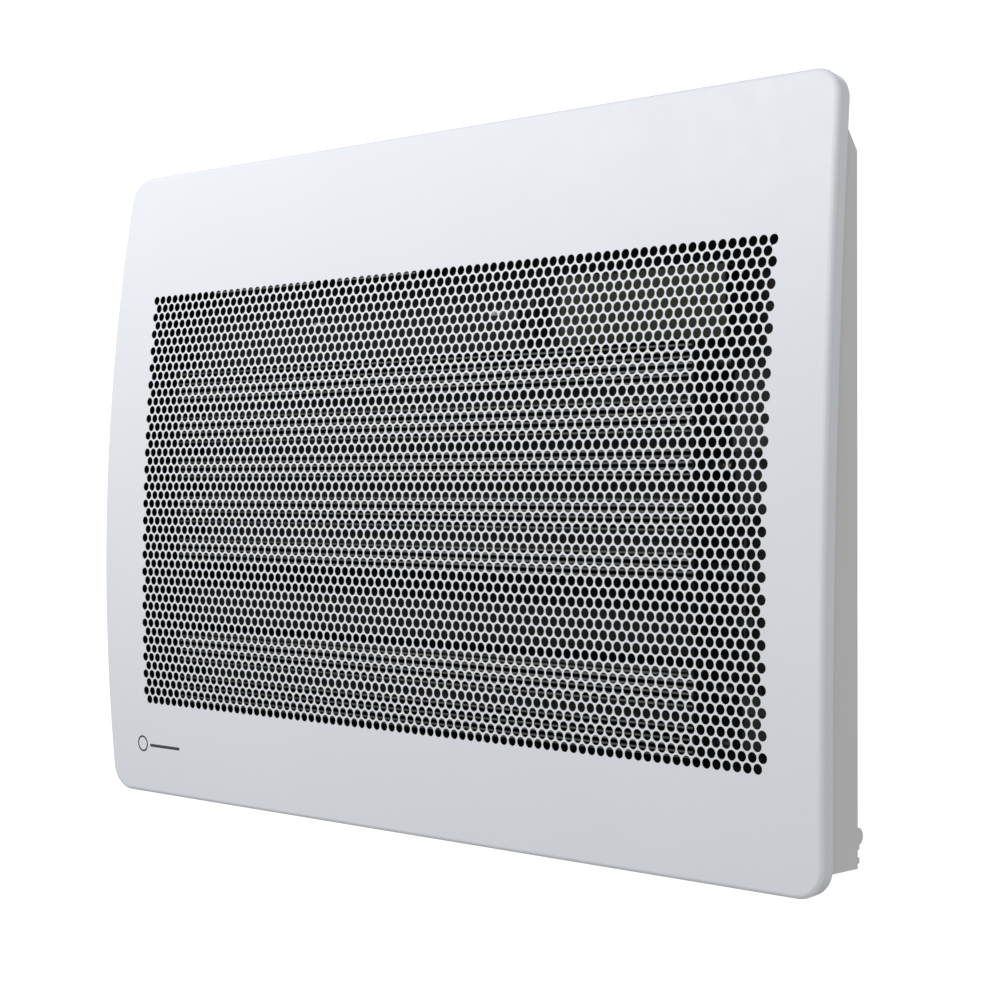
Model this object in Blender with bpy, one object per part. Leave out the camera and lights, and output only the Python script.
"""Wall-mounted radiant panel heater: a bowed sheet-steel front, a shallow rear casing
with finned emitters inside, and a wall bracket that the heater hooks onto and tips from.

The frame is metres, +Z up, +X to the viewer's right and +Y into the wall. The wall is
the plane Y = 0, and the origin is the middle of the bracket's back.
"""

import math

import bmesh
import bpy
from mathutils import Matrix, Vector

# Gap that neighbouring solids keep.
GAP = 0.0003

# Front panel. It is an arc in side view, with its foremost point below the middle.
PANEL_HALF_WIDTH = 0.3174
PANEL_TOP = 0.220
PANEL_BOTTOM = -0.2223
SIDE_RADIUS = 4.63
SIDE_CREST_Z = -0.013
BOW_RADIUS = 1.880
CREST_Z = -0.081
CREST_Y = -0.075
PANEL_SHEET = 0.0015
PANEL_FLANGE = 0.0102
PANEL_CORNER = 0.018
PANEL_EDGE = 0.003

# Rear casing.
CASE_SHEET = 0.0012
CHEEK_SHEET = 0.0015
CASE_HALF_WIDTH = 0.3015
CASE_REAR_Y = -0.021
CASE_BOTTOM = -0.2115
CASE_TOP = 0.205
SLOPE_FRONT_Y = -0.0415
SLOPE_FOOT_Z = 0.178
BACK_PLATE_Y = -0.030
BACK_PLATE_TOP = 0.186
CASE_INNER_HALF = CASE_HALF_WIDTH - CHEEK_SHEET - GAP

# Tipping pivot: round pins on the cheeks' ears, lying in hooks of the bracket.
PIVOT_Y = CASE_REAR_Y
PIVOT_Z = -0.194
PIN_RADIUS = 0.003
EAR_RADIUS = 0.0050
HOOK_INNER = 0.0035
HOOK_OUTER = 0.0065

# Wall bracket.
BRACKET_SHEET = 0.002
RAIL_DEPTH = 0.009
RAIL_LOW = 0.118
RAIL_HIGH = 0.152
UPRIGHT_WEB_X = 0.262
UPRIGHT_DEPTH = 0.008
UPRIGHT_INNER_X = 0.244
UPRIGHT_TOP = 0.172
SCREW_X = 0.150

# Sliding latch and the keeper that it locks.
LATCH_Z = 0.150
LATCH_HALF_HEIGHT = 0.005
LATCH_BACK_Y = -0.014
LATCH_FRONT_Y = -0.020
LATCH_TIP_X = 0.272
KEEPER_X = 0.2743

# Finned emitters: bars one above another, each with a heating tube clipped in its back.
BAR_LEFT = -0.2500
BAR_RIGHT = 0.2170
FIN_PITCH = 0.0034
FIN_SHEET = 0.0011
FIN_FRONT_Y = -0.0580
BAR_PLATE_Y = -0.0465
BAR_PLATE = 0.0015
BAR_TOPS = (0.0760, 0.0450, 0.0172, -0.0107, -0.0409, -0.1089, -0.1380)
BAR_FINS = (7, 6, 6, 6, 5, 6, 5)
TUBE_LEFT = -0.2650
TUBE_RIGHT = 0.2330
TUBE_RADIUS = 0.0031
TUBE_Y = -0.0412
TUBE_DROP = 0.0100

# Control pod, behind the panel's top edge at the right.
POD_LEFT = 0.150
POD_RIGHT = 0.285
POD_FRONT = -0.0408
POD_REAR = -0.0225
POD_FLOOR = 0.190
POD_RIM = 0.2105
POD_WALL = 0.0015
FASCIA_SHEET = 0.0017
KEY_ROW_FRONT = -0.0366
KEY_ROW_REAR = -0.0267
KEY_CENTRES = {"mode": 0.232, "minus": 0.245, "plus": 0.258, "confirm": 0.271}
KEY_HOLE_HALF = 0.00495
ROCKER_X = 0.1652
ROCKER_Z = 0.2085
ROCKER_HOLE_HALF = 0.0070
LENS_LEFT = 0.180
LENS_RIGHT = 0.222

POWDER_WHITE = ("powder_white", (0.86, 0.88, 0.90), 0.42, 0.0)
CASE_WHITE = ("case_white", (0.80, 0.81, 0.82), 0.5, 0.0)
ZINC = ("zinc", (0.62, 0.63, 0.62), 0.4, 0.9)
ALUMINIUM = ("aluminium", (0.55, 0.55, 0.54), 0.4, 0.9)
BRIGHT_SHEET = ("bright_sheet", (0.60, 0.60, 0.58), 0.3, 0.9)
TUBE_STEEL = ("tube_steel", (0.30, 0.29, 0.27), 0.35, 0.9)
GREY_PLASTIC = ("grey_plastic", (0.70, 0.71, 0.72), 0.5, 0.0)
DARK_PLASTIC = ("dark_plastic", (0.03, 0.03, 0.035), 0.45, 0.0)
KEY_PLASTIC = ("key_plastic", (0.25, 0.26, 0.27), 0.5, 0.0)
CIRCUIT = ("circuit", (0.03, 0.16, 0.07), 0.5, 0.0)
LENS = ("lens", (0.05, 0.06, 0.07), 0.1, 0.0)


def clear_scene():
    for thing in list(bpy.data.objects):
        bpy.data.objects.remove(thing)


def material(look):
    name, color, roughness, metallic = look
    made = bpy.data.materials.get(name)
    if made:
        return made
    made = bpy.data.materials.new(name)
    made.use_nodes = True
    shader = made.node_tree.nodes["Principled BSDF"]
    shader.inputs["Base Color"].default_value = (*color, 1.0)
    shader.inputs["Roughness"].default_value = roughness
    shader.inputs["Metallic"].default_value = metallic
    return made


def pivot(name, place, parent=None):
    """An empty on a joint's axis, which carries the pieces of one body."""
    empty = bpy.data.objects.new(name, None)
    bpy.context.collection.objects.link(empty)
    empty.parent = parent
    empty.location = Vector(place) - (parent.location if parent else Vector())
    empty["place"] = tuple(place)
    return empty


def add(name, shape, look, parent, smooth=False):
    """An object from a bmesh given in world places, with its origin on its parent."""
    bmesh.ops.recalc_face_normals(shape, faces=shape.faces)
    bmesh.ops.translate(shape, verts=shape.verts, vec=-Vector(parent["place"]))
    mesh = bpy.data.meshes.new(name)
    shape.to_mesh(mesh)
    shape.free()
    if smooth:
        mesh.shade_smooth()
        mesh.set_sharp_from_angle(angle=math.radians(35))
    mesh.materials.append(material(look))
    made = bpy.data.objects.new(name, mesh)
    bpy.context.collection.objects.link(made)
    made.parent = parent
    return made


def union(base, extra):
    """Joins a second bmesh object to base with a Boolean, and keeps base's name."""
    joint = base.modifiers.new("union", "BOOLEAN")
    joint.operation = "UNION"
    joint.object = extra
    extra.hide_render = True
    extra.display_type = "WIRE"
    return base


def prism(outline, low, high, place=lambda u, a, b: (u, a, b)):
    """A closed outline of (a, b) points, extruded along u. By default u is X, a is Y and b is Z."""
    shape = bmesh.new()
    ends = [[shape.verts.new(place(u, a, b)) for a, b in outline] for u in (low, high)]
    shape.faces.new(ends[0])
    shape.faces.new(ends[1])
    for i in range(len(outline)):
        j = (i + 1) % len(outline)
        shape.faces.new((ends[0][i], ends[0][j], ends[1][j], ends[1][i]))
    return shape


def along_y(u, a, b):
    """Places an outline drawn in X and Z, extruded along Y."""
    return (a, u, b)


def along_x_plate(u, a, b):
    """Places a sheet that stands square to X: its cuts run along Y."""
    return (a, u, b)


def flat_plate(u, a, b):
    """Places a sheet that lies level: its path runs along Y at height b."""
    return (u, a, b)


def offset_path(path, thickness):
    """The path's other side, moved to its left by thickness, with mitred bends."""
    points = [Vector(p) for p in path]
    sides = []
    for a, b in zip(points, points[1:]):
        run = (b - a).normalized()
        sides.append(Vector((-run.y, run.x)))
    moved = []
    for i, point in enumerate(points):
        before = sides[max(i - 1, 0)]
        after = sides[min(i, len(sides) - 1)]
        mitre = (before + after).normalized()
        moved.append(point + mitre * (thickness / mitre.dot(before)))
    return moved


def sheet(path, cuts, thickness, holes=(), place=flat_plate):
    """A folded sheet. path is its profile, cuts divide its width, and each hole is a
    (row, column) cell left out, rows counted along the path and columns along the cuts."""
    shape = bmesh.new()
    faces_of = [[Vector(p) for p in path], offset_path(path, thickness)]
    made = {}

    def corner(side, row, column):
        key = (side, row, column)
        if key not in made:
            a, b = faces_of[side][row]
            made[key] = shape.verts.new(place(cuts[column], a, b))
        return made[key]

    rows, columns = len(path) - 1, len(cuts) - 1
    holes = set(holes)

    def solid(row, column):
        inside = 0 <= row < rows and 0 <= column < columns
        return inside and (row, column) not in holes

    for row in range(rows):
        for column in range(columns):
            if not solid(row, column):
                continue
            ring = [
                (row, column),
                (row, column + 1),
                (row + 1, column + 1),
                (row + 1, column),
            ]
            for side in (0, 1):
                shape.faces.new([corner(side, *at) for at in ring])
            beyond = [
                (row - 1, column),
                (row, column + 1),
                (row + 1, column),
                (row, column - 1),
            ]
            for i, neighbour in enumerate(beyond):
                if solid(*neighbour):
                    continue
                a, b = ring[i], ring[(i + 1) % 4]
                shape.faces.new(
                    (corner(0, *a), corner(0, *b), corner(1, *b), corner(1, *a))
                )
    return shape


def box(low, high, bevel=0.0):
    shape = bmesh.new()
    bmesh.ops.create_cube(shape, size=1.0)
    low, high = Vector(low), Vector(high)
    bmesh.ops.scale(shape, verts=shape.verts, vec=high - low)
    bmesh.ops.translate(shape, verts=shape.verts, vec=(low + high) / 2)
    if bevel:
        bmesh.ops.bevel(
            shape,
            geom=list(shape.edges),
            offset=bevel,
            segments=2,
            profile=0.5,
            affect="EDGES",
        )
    return shape


def rod(start, end, radius, sides=12):
    start, end = Vector(start), Vector(end)
    turn = (end - start).to_track_quat("Z", "X").to_matrix().to_4x4()
    shape = bmesh.new()
    bmesh.ops.create_cone(
        shape,
        cap_ends=True,
        segments=sides,
        radius1=radius,
        radius2=radius,
        depth=(end - start).length,
        matrix=Matrix.Translation((start + end) / 2) @ turn,
    )
    return shape


def turned(levels, centre, axis, sides=16):
    """A round body: (distance along axis, radius) levels from one end to the other."""
    axis = Vector(axis)
    turn = axis.to_track_quat("Z", "X").to_matrix()
    shape = bmesh.new()
    rings = []
    for along, radius in levels:
        ring = []
        for i in range(sides):
            angle = math.tau * i / sides
            local = Vector((radius * math.cos(angle), radius * math.sin(angle), along))
            ring.append(shape.verts.new(Vector(centre) + turn @ local))
        rings.append(ring)
    shape.faces.new(rings[0])
    shape.faces.new(rings[-1])
    for lower, upper in zip(rings, rings[1:]):
        for i in range(sides):
            j = (i + 1) % sides
            shape.faces.new((lower[i], lower[j], upper[j], upper[i]))
    return shape


def stepped(levels, x, y):
    """A stack of rectangles about (x, y): (half width, half depth, height) levels."""
    shape = bmesh.new()
    rings = []
    for half_x, half_y, z in levels:
        signs = ((-1, -1), (1, -1), (1, 1), (-1, 1))
        rings.append([shape.verts.new((x + i * half_x, y + j * half_y, z)) for i, j in signs])
    shape.faces.new(rings[0])
    shape.faces.new(rings[-1])
    for lower, upper in zip(rings, rings[1:]):
        for i in range(4):
            j = (i + 1) % 4
            shape.faces.new((lower[i], lower[j], upper[j], upper[i]))
    return shape


def tray(low, high, wall):
    """A box with walls and a floor of one thickness and no lid."""
    shape = bmesh.new()

    def ring(inset, z):
        places = (
            (low[0] + inset, low[1] + inset, z),
            (high[0] - inset, low[1] + inset, z),
            (high[0] - inset, high[1] - inset, z),
            (low[0] + inset, high[1] - inset, z),
        )
        return [shape.verts.new(p) for p in places]

    rings = [
        ring(0, low[2]),
        ring(0, high[2]),
        ring(wall, high[2]),
        ring(wall, low[2] + wall),
    ]
    shape.faces.new(rings[0])
    shape.faces.new(rings[-1])
    for lower, upper in zip(rings, rings[1:]):
        for i in range(4):
            j = (i + 1) % 4
            shape.faces.new((lower[i], lower[j], upper[j], upper[i]))
    return shape


def arc(centre, radius, start, end, steps):
    """Points on an arc between two angles in degrees, ends included."""
    points = []
    for i in range(steps + 1):
        angle = math.radians(start + (end - start) * i / steps)
        points.append(
            (centre[0] + radius * math.cos(angle), centre[1] + radius * math.sin(angle))
        )
    return points


def bow_angle(z):
    return math.asin((z - CREST_Z) / BOW_RADIUS)


def bowed(angle, depth):
    """(Y, Z) at an angle up the bow, depth behind the panel's front face."""
    reach = BOW_RADIUS - depth
    return (
        CREST_Y + BOW_RADIUS - reach * math.cos(angle),
        CREST_Z + reach * math.sin(angle),
    )


def bow_points(z_low, z_high, depth, steps):
    """Points up the bow between two heights, depth behind the front face."""
    low, high = bow_angle(z_low), bow_angle(z_high)
    return [bowed(low + (high - low) * i / steps, depth) for i in range(steps + 1)]


def spread(low, high, count):
    """count + 1 even places from low to high."""
    return [low + (high - low) * i / count for i in range(count + 1)]


def slot_cuts(low, high, count, share, edge):
    """Cut places for count slots between low and high. A slot takes share of its pitch."""
    pitch = (high - low - 2 * edge) / count
    cuts = [low]
    for i in range(count):
        start = low + edge + pitch * (i + (1 - share) / 2)
        cuts += [start, start + pitch * share]
    return cuts + [high]


def front_panel(parent):
    """The bowed tray: a front face, a rounded edge and a flange turned back all round."""
    corner_steps, side_steps = 6, 16
    top = BOW_RADIUS * bow_angle(PANEL_TOP)
    bottom = BOW_RADIUS * bow_angle(PANEL_BOTTOM)

    widest = BOW_RADIUS * bow_angle(SIDE_CREST_Z)
    hub = PANEL_HALF_WIDTH - SIDE_RADIUS

    def corner(height):
        """The centre of a corner that meets the side's long arc, and where they meet."""
        rise = height - widest
        reach = math.sqrt((SIDE_RADIUS - PANEL_CORNER) ** 2 - rise**2)
        return (hub + reach, height), math.degrees(math.atan2(rise, reach))

    def rungs(inset):
        """(half width, height along the arc) from the top edge down to the bottom edge."""
        radius = PANEL_CORNER - inset
        upper, start = corner(top - PANEL_CORNER)
        lower, end = corner(bottom + PANEL_CORNER)
        head = arc(upper, radius, 90, start, corner_steps)
        side = arc((hub, widest), SIDE_RADIUS - inset, start, end, side_steps)
        foot = arc(lower, radius, end, -90, corner_steps)
        return head + side[1:-1] + foot

    shape = bmesh.new()

    def ring(inset, depth):
        right, left = [], []
        for half, along in rungs(inset):
            y, z = bowed(along / BOW_RADIUS, depth)
            right.append(shape.verts.new((half, y, z)))
            left.append(shape.verts.new((-half, y, z)))
        return right, left

    rounds = [
        (PANEL_EDGE * (1 - math.sin(t)), PANEL_EDGE * (1 - math.cos(t)))
        for t in (math.pi / 2 * i / 3 for i in range(4))
    ]
    levels = rounds + [
        (0.0, PANEL_FLANGE),
        (PANEL_SHEET, PANEL_FLANGE),
        (PANEL_SHEET, PANEL_SHEET),
    ]
    rings = [ring(*level) for level in levels]
    for right, left in (rings[0], rings[-1]):
        for i in range(len(right) - 1):
            shape.faces.new((right[i], right[i + 1], left[i + 1], left[i]))
    for (right, left), (next_right, next_left) in zip(rings, rings[1:]):
        loop = right + left[::-1]
        next_loop = next_right + next_left[::-1]
        for i in range(len(loop)):
            j = (i + 1) % len(loop)
            shape.faces.new((loop[i], loop[j], next_loop[j], next_loop[i]))
    add("front_panel", shape, POWDER_WHITE, parent, smooth=True)


def side_cheek(name, side, parent):
    """One side of the casing: its rear edge has the pivot ear and two small teeth, and its
    front edge turns out into a strip that carries the front panel."""
    strip_front = PANEL_SHEET + GAP
    cheek_front = strip_front + CHEEK_SHEET / 2
    front = bow_points(CASE_BOTTOM, CASE_TOP, cheek_front, 12)
    slope = [(SLOPE_FRONT_Y, CASE_TOP), (CASE_REAR_Y, SLOPE_FOOT_Z)]
    ear = arc((PIVOT_Y, PIVOT_Z), EAR_RADIUS, 90, -71, 9)
    upper_tooth = [(PIVOT_Y + 0.0016, PIVOT_Z - 0.0072), (PIVOT_Y, PIVOT_Z - 0.0072)]
    lower_tooth = [
        (PIVOT_Y, PIVOT_Z - 0.0110),
        (PIVOT_Y + 0.0016, PIVOT_Z - 0.0116),
        (PIVOT_Y + 0.0016, PIVOT_Z - 0.0144),
        (PIVOT_Y, PIVOT_Z - 0.0148),
    ]
    outline = front + slope + ear + upper_tooth + lower_tooth + [(CASE_REAR_Y, CASE_BOTTOM)]
    outer = side * CASE_HALF_WIDTH
    inner = side * (CASE_HALF_WIDTH - CHEEK_SHEET)
    plate = add(name, prism(outline, inner, outer), CASE_WHITE, parent)
    band = bow_points(-0.200, 0.196, strip_front, 12)
    band += bow_points(-0.200, 0.196, strip_front + CHEEK_SHEET, 12)[::-1]
    strip_inner = side * (CASE_HALF_WIDTH - CHEEK_SHEET / 2)
    strip_outer = side * (PANEL_HALF_WIDTH - 0.0085)
    strip = prism(band, strip_inner, strip_outer)
    union(plate, add(name + "_strip", strip, CASE_WHITE, parent))


def casing(parent):
    """The shallow box behind the front panel, as separate plates between two cheeks."""
    half = CASE_INNER_HALF
    side_cheek("side_cheek_right", 1, parent)
    side_cheek("side_cheek_left", -1, parent)

    gland_low, gland_high = 0.2282, 0.2418
    sheet_x = [-half, gland_low, gland_high, half]
    path = [
        (BACK_PLATE_Y, BACK_PLATE_TOP),
        (BACK_PLATE_Y, -0.0732),
        (BACK_PLATE_Y, -0.0868),
        (BACK_PLATE_Y, CASE_BOTTOM + CASE_SHEET + GAP),
    ]
    back = sheet(path, sheet_x, -CASE_SHEET, holes=[(1, 1)])
    add("back_plate", back, CASE_WHITE, parent)

    slope = Vector((CASE_REAR_Y, SLOPE_FOOT_Z)) - Vector((SLOPE_FRONT_Y, CASE_TOP))
    bend = Vector((SLOPE_FRONT_Y, CASE_TOP - 0.0001))
    path = [
        (-0.0500, bend.y),
        tuple(bend),
        tuple(bend + slope * 0.16),
        tuple(bend + slope * 0.78),
        tuple(bend + slope * 0.96),
    ]
    cuts = slot_cuts(-half, POD_LEFT - 0.0005, 22, 0.78, 0.012)[:-1]
    slots = [(2, column) for column in range(1, len(cuts), 2)]
    cuts += [POD_LEFT - 0.0005, POD_RIGHT + 0.0005, half]
    pod_column = len(cuts) - 3
    bay = [(row, pod_column) for row in (1, 2, 3)]
    top = sheet(path, cuts, -CASE_SHEET, holes=slots + bay)
    add("top_plate", top, CASE_WHITE, parent)

    path = [(y, CASE_BOTTOM) for y in (-0.0665, -0.0600, -0.0380, -0.0218)]
    cuts = slot_cuts(-half, half, 28, 0.72, 0.014)
    slots = [(1, column) for column in range(1, len(cuts) - 1, 2)]
    bottom = sheet(path, cuts, CASE_SHEET, holes=slots)
    add("bottom_plate", bottom, CASE_WHITE, parent)


def pivot_pin(name, side, parent):
    start = (side * 0.254, PIVOT_Y, PIVOT_Z)
    end = (side * CASE_INNER_HALF, PIVOT_Y, PIVOT_Z)
    add(name, rod(start, end, PIN_RADIUS, 16), ZINC, parent, smooth=True)


def keeper(name, side, parent):
    """A slotted ear on the casing's back that the latch bolt slides into."""
    path = [(side * KEEPER_X, z) for z in (0.130, 0.1438, 0.1562, 0.170)]
    cuts = [BACK_PLATE_Y + GAP, -0.0222, -0.0118, -0.006]
    plate = sheet(path, cuts, -side * 0.0015, holes=[(1, 1)], place=along_x_plate)
    add(name, plate, ZINC, parent)


def emitter_bar(name, top, fins, parent):
    """An extruded bar: a plate with fins to the front and a clip for its tube behind."""
    plate_front = BAR_PLATE_Y - BAR_PLATE
    outline = [(BAR_PLATE_Y, top)]
    for i in range(fins):
        upper = top - FIN_PITCH * i
        lower = upper - FIN_SHEET
        root = BAR_PLATE_Y if i == fins - 1 else plate_front
        outline += [(FIN_FRONT_Y, upper), (FIN_FRONT_Y, lower), (root, lower)]
        if i < fins - 1:
            outline.append((plate_front, upper - FIN_PITCH))
    middle = top - TUBE_DROP
    inner = TUBE_RADIUS + GAP
    outer = inner + 0.0012
    clip_rear = TUBE_Y + 0.0026
    outline += [
        (BAR_PLATE_Y, middle - outer),
        (clip_rear, middle - outer),
        (clip_rear, middle - inner),
        (TUBE_Y - inner, middle - inner),
        (TUBE_Y - inner, middle + inner),
        (clip_rear, middle + inner),
        (clip_rear, middle + outer),
        (BAR_PLATE_Y, middle + outer),
    ]
    add(name, prism(outline, BAR_LEFT, BAR_RIGHT), ALUMINIUM, parent)


def emitters(parent):
    """The finned bars, the tubes in them and the two end plates that hold them."""
    for i, (top, count) in enumerate(zip(BAR_TOPS, BAR_FINS), 1):
        emitter_bar(f"emitter_bar_{i}", top, count, parent)
        z = top - TUBE_DROP
        tube = rod((TUBE_LEFT, TUBE_Y, z), (TUBE_RIGHT, TUBE_Y, z), TUBE_RADIUS)
        add(f"heating_tube_{i}", tube, TUBE_STEEL, parent, smooth=True)

    hole = TUBE_RADIUS + 0.0006
    heights = [0.0780]
    for top in BAR_TOPS:
        z = top - TUBE_DROP
        heights += [z + hole, z - hole]
    heights.append(-0.1550)
    cuts = [-0.0590, TUBE_Y - hole, TUBE_Y + hole, BACK_PLATE_Y - CASE_SHEET - GAP]
    holes = [(row, 1) for row in range(1, len(heights) - 1, 2)]
    for name, x, thickness in (
        ("emitter_bracket_left", BAR_LEFT - GAP, -0.0012),
        ("emitter_bracket_right", BAR_RIGHT + GAP, 0.0012),
    ):
        path = [(x, z) for z in heights]
        plate = sheet(path, cuts, thickness, holes=holes, place=along_x_plate)
        add(name, plate, BRIGHT_SHEET, parent)


def shields(parent):
    """The reflector behind the emitters and the plates beside and between them."""
    path = [
        (-0.0560, 0.0790),
        (-0.0350, 0.0790),
        (-0.0350, -0.1560),
        (-0.0560, -0.1560),
    ]
    reflector = sheet(path, [BAR_LEFT, BAR_RIGHT], -0.0006)
    add("reflector", reflector, BRIGHT_SHEET, parent)

    path = [(-0.0480, -0.0762), (-0.0480, -0.0990)]
    strip = sheet(path, [BAR_LEFT, BAR_RIGHT], 0.0010)
    add("centre_shield", strip, BRIGHT_SHEET, parent)

    path = [(-0.0500, 0.0800), (-0.0500, 0.1200), (BACK_PLATE_Y - 0.0016, 0.1200)]
    plate = sheet(path, [0.110, 0.234], -0.0010)
    add("board_shield", plate, BRIGHT_SHEET, parent)

    path = [(-0.0605, 0.1300), (-0.0520, 0.1300), (BACK_PLATE_Y - 0.0016, 0.1300)]
    cuts = [-0.205, -0.100, -0.079, -0.016]
    lip = sheet(path, cuts, 0.0012, holes=[(0, 1)])
    add("cable_tray", lip, ZINC, parent)


def safety_cutout(parent):
    """A snap-disc limiter on its angle, above the emitters."""
    disc = turned(
        [(0, 0.0045), (0.004, 0.0045), (0.004, 0.0080), (0.011, 0.0080), (0.012, 0.0070)],
        (0.069, -0.0408, 0.100),
        (0, -1, 0),
    )
    add("safety_cutout", disc, DARK_PLASTIC, parent, smooth=True)
    path = [(-0.0400, 0.112), (-0.0400, 0.0860), (BACK_PLATE_Y - 0.0016, 0.0860)]
    angle = sheet(path, [0.059, 0.079], 0.0010)
    add("cutout_bracket", angle, ZINC, parent)


def electrics(parent):
    """The power board and mains terminals, in the bay at the right of the emitters."""
    board = box((0.2345, -0.0420, -0.0200), (0.2900, -0.0404, 0.0600))
    add("power_board", board, CIRCUIT, parent)
    relay = box((0.2450, -0.0580, 0.0150), (0.2730, -0.0423, 0.0300), 0.0008)
    add("power_relay", relay, DARK_PLASTIC, parent)
    block = stepped(
        [
            (0.022, 0.0060, -0.1500),
            (0.022, 0.0060, -0.1400),
            (0.022, 0.0045, -0.1400),
            (0.022, 0.0045, -0.1300),
            (0.022, 0.0060, -0.1300),
            (0.022, 0.0060, -0.1200),
        ],
        0.263,
        -0.0380,
    )
    add("terminal_block", block, GREY_PLASTIC, parent)
    gland = turned(
        [
            (0.0, 0.0060),
            (0.0045, 0.0060),
            (0.0045, 0.0090),
            (0.0065, 0.0090),
            (0.0120, 0.0070),
        ],
        (0.235, BACK_PLATE_Y - 0.0042, -0.080),
        (0, 1, 0),
    )
    add("cable_gland", gland, DARK_PLASTIC, parent, smooth=True)


def control_pod(parent):
    """The pod's tray, its board, its fascia with square holes, and the display lens."""
    low = (POD_LEFT, POD_FRONT, POD_FLOOR)
    high = (POD_RIGHT, POD_REAR, POD_RIM)
    add("control_housing", tray(low, high, POD_WALL), GREY_PLASTIC, parent)
    board = box((POD_LEFT + 0.004, -0.0385, 0.1985), (POD_RIGHT - 0.004, -0.0248, 0.2001))
    add("control_board", board, CIRCUIT, parent)

    cuts = [POD_LEFT, ROCKER_X - ROCKER_HOLE_HALF, ROCKER_X + ROCKER_HOLE_HALF]
    cuts += [LENS_LEFT, LENS_RIGHT]
    for x in KEY_CENTRES.values():
        cuts += [x - KEY_HOLE_HALF, x + KEY_HOLE_HALF]
    cuts.append(POD_RIGHT)
    base = POD_RIM + GAP
    path = [(y, base) for y in (POD_FRONT, KEY_ROW_FRONT, KEY_ROW_REAR, POD_REAR)]
    windows = [(1, column) for column in range(1, len(cuts) - 1, 2)]
    fascia = sheet(path, cuts, FASCIA_SHEET, holes=windows)
    add("control_fascia", fascia, GREY_PLASTIC, parent)

    lens_low = (LENS_LEFT + GAP, KEY_ROW_FRONT + GAP, base + 0.0004)
    lens_high = (LENS_RIGHT - GAP, KEY_ROW_REAR - GAP, base + FASCIA_SHEET)
    add("display_lens", box(lens_low, lens_high), LENS, parent)


def key(name, x, parent):
    """A square push button. Its skirt is wider than its hole and keeps it in."""
    y = (KEY_ROW_FRONT + KEY_ROW_REAR) / 2
    body = pivot("pivot_" + name, (x, y, POD_RIM), parent)
    levels = [
        (0.0055, 0.0055, 0.2062),
        (0.0055, 0.0055, 0.2078),
        (0.0045, 0.0045, 0.2078),
        (0.0045, 0.0045, 0.2138),
        (0.0040, 0.0040, 0.2143),
    ]
    add(name, stepped(levels, x, y), KEY_PLASTIC, body)


def power_rocker(parent):
    """The on and off rocker, which turns on a pin across its middle."""
    body = pivot("pivot_power_rocker", (ROCKER_X, KEY_ROW_FRONT, ROCKER_Z), parent)
    shape = (
        (-0.0064, 0.0048),
        (0.0000, 0.0036),
        (0.0064, 0.0048),
        (0.0060, -0.0008),
        (0.0020, -0.0040),
        (-0.0020, -0.0040),
        (-0.0060, -0.0008),
    )
    outline = [(ROCKER_X + x, ROCKER_Z + z) for x, z in shape]
    low, high = KEY_ROW_FRONT + 0.0004, KEY_ROW_REAR - 0.0004
    add("power_rocker", prism(outline, low, high, along_y), DARK_PLASTIC, body)


def rail(name, z_low, z_high, parent):
    """A channel across the bracket, with square holes for the wall screws."""
    path = [
        (-RAIL_DEPTH, z_high),
        (0.0, z_high),
        (0.0, (z_low + z_high) / 2 + 0.0035),
        (0.0, (z_low + z_high) / 2 - 0.0035),
        (0.0, z_low),
        (-RAIL_DEPTH, z_low),
    ]
    end = UPRIGHT_INNER_X - GAP
    hole = 0.0035
    cuts = [-end, -SCREW_X - hole, -SCREW_X + hole]
    cuts += [SCREW_X - hole, SCREW_X + hole, end]
    channel = sheet(path, cuts, -BRACKET_SHEET, holes=[(2, 1), (2, 3)])
    add(name, channel, ZINC, parent)


def upright(name, side, parent):
    """An angle on the wall. Its web ends in an open hook that the pivot pin lies in."""
    centre = (PIVOT_Y, PIVOT_Z)
    foot = PIVOT_Z - HOOK_OUTER
    cup = arc(centre, HOOK_INNER, 0, -180, 8)
    heel = arc(centre, HOOK_OUTER, 180, 270, 4)
    outline = [
        (0.0, UPRIGHT_TOP),
        (-UPRIGHT_DEPTH, UPRIGHT_TOP),
        (-UPRIGHT_DEPTH, PIVOT_Z + 0.016),
        (PIVOT_Y + HOOK_INNER, PIVOT_Z + 0.010),
        *cup,
        (PIVOT_Y - HOOK_INNER, PIVOT_Z + 0.003),
        (PIVOT_Y - HOOK_OUTER, PIVOT_Z + 0.003),
        *heel,
        (0.0, foot),
    ]
    web_far = side * (UPRIGHT_WEB_X + BRACKET_SHEET)
    web = add(name, prism(outline, side * UPRIGHT_WEB_X, web_far), ZINC, parent)
    flange_x = sorted((side * UPRIGHT_INNER_X, side * (UPRIGHT_WEB_X + 0.001)))
    low = (flange_x[0], -BRACKET_SHEET, foot + 0.004)
    high = (flange_x[1], 0.0, UPRIGHT_TOP - 0.004)
    union(web, add(name + "_flange", box(low, high), ZINC, parent))


def wall_screw(name, x, z, parent):
    """A pan-head wall screw, ended at the wall."""
    levels = [(0.0, 0.0028), (0.0023, 0.0028), (0.0023, 0.0060), (0.0042, 0.0056), (0.0054, 0.0036)]
    screw = turned(levels, (x, -0.0003, z), (0, -1, 0))
    add(name, screw, ZINC, parent, smooth=True)


def latch_guide(name, side, parent):
    """A square sleeve on the upright that the latch bolt runs in."""
    near = side * 0.2585
    middle = LATCH_HALF_HEIGHT + 0.0006
    path = [(near, LATCH_Z + z) for z in (-0.0095, -middle, middle, 0.0095)]
    cuts = [-0.0236, LATCH_FRONT_Y - 0.0006, LATCH_BACK_Y + 0.0006, -UPRIGHT_DEPTH - GAP]
    sleeve = sheet(path, cuts, -side * 0.0120, holes=[(1, 1)], place=along_x_plate)
    add(name, sleeve, DARK_PLASTIC, parent)


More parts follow.
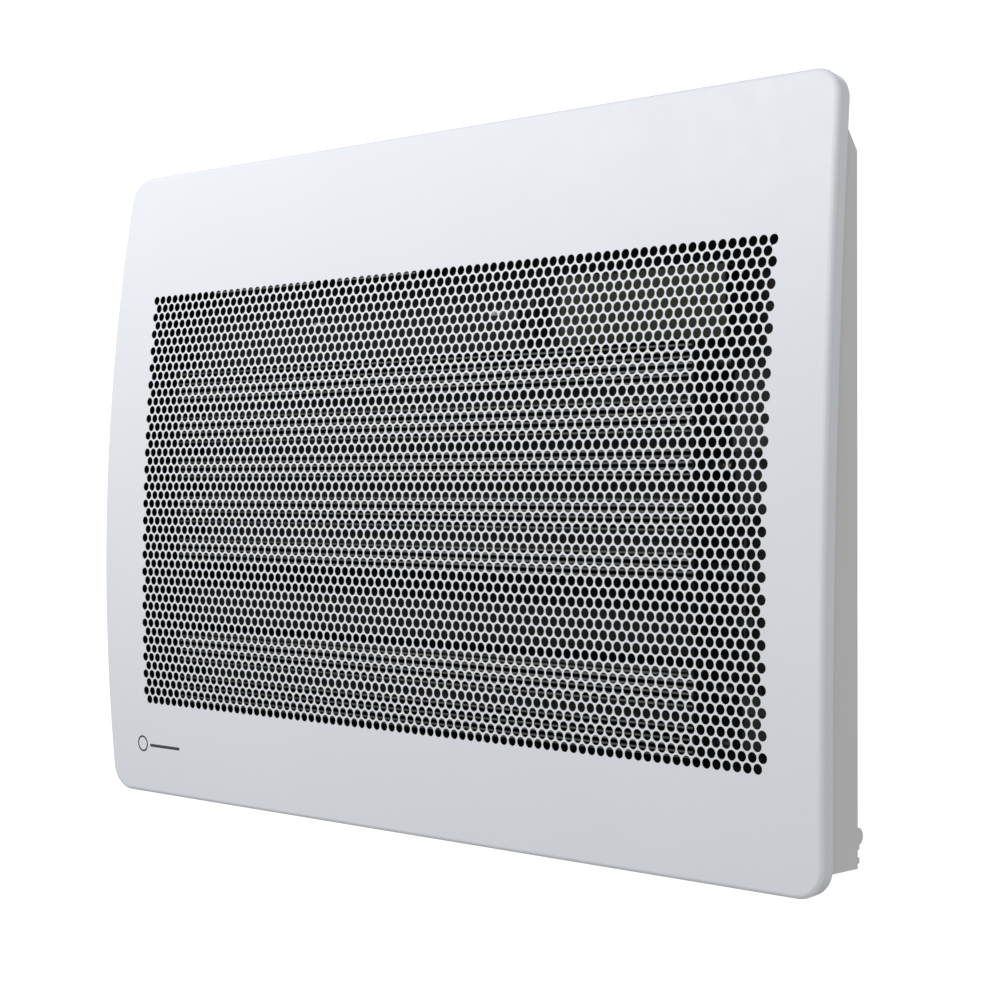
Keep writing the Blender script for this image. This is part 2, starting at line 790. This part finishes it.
def latch_bolt(name, side, root):
    """A flat bolt with a finger tab that stands up behind the heater."""
    tip = LATCH_TIP_X
    body = pivot("pivot_" + name, (side * tip, LATCH_BACK_Y, LATCH_Z), root)
    low, high = LATCH_Z - LATCH_HALF_HEIGHT, LATCH_Z + LATCH_HALF_HEIGHT
    shape = (
        (tip - 0.040, low),
        (tip - 0.002, low),
        (tip, low + 0.002),
        (tip, high - 0.002),
        (tip - 0.002, high),
        (tip - 0.027, high),
        (tip - 0.027, 0.186),
        (tip - 0.037, 0.186),
        (tip - 0.037, high),
        (tip - 0.040, high),
    )
    outline = [(side * x, z) for x, z in shape]
    bolt = prism(outline, LATCH_FRONT_Y, LATCH_BACK_Y, along_y)
    add(name, bolt, DARK_PLASTIC, body)


def wall_bracket(root):
    rail("bracket_rail_upper", RAIL_LOW, RAIL_HIGH, root)
    rail("bracket_rail_lower", -RAIL_HIGH, -RAIL_LOW, root)
    reach = RAIL_LOW - BRACKET_SHEET
    spine = box((-0.020, -BRACKET_SHEET, -reach), (0.020, 0.0, reach))
    add("bracket_spine", spine, ZINC, root)
    middle = (RAIL_LOW + RAIL_HIGH) / 2
    places = [(x, z) for z in (middle, -middle) for x in (-SCREW_X, SCREW_X)]
    for i, (x, z) in enumerate(places, 1):
        wall_screw(f"wall_screw_{i}", x, z, root)
    for word, side in (("left", -1), ("right", 1)):
        upright("bracket_upright_" + word, side, root)
        latch_guide("latch_guide_" + word, side, root)
        latch_bolt("latch_bolt_" + word, side, root)


def heater(root):
    body = pivot("pivot_heater", (0.0, PIVOT_Y, PIVOT_Z), root)
    front_panel(body)
    casing(body)
    for word, side in (("left", -1), ("right", 1)):
        pivot_pin("pivot_pin_" + word, side, body)
        keeper("latch_keeper_" + word, side, body)
    emitters(body)
    shields(body)
    safety_cutout(body)
    electrics(body)
    control_pod(body)
    for word, x in KEY_CENTRES.items():
        key("key_" + word, x, body)
    power_rocker(body)


def main():
    clear_scene()
    root = pivot("wall", (0.0, 0.0, 0.0))
    wall_bracket(root)
    heater(root)


main()
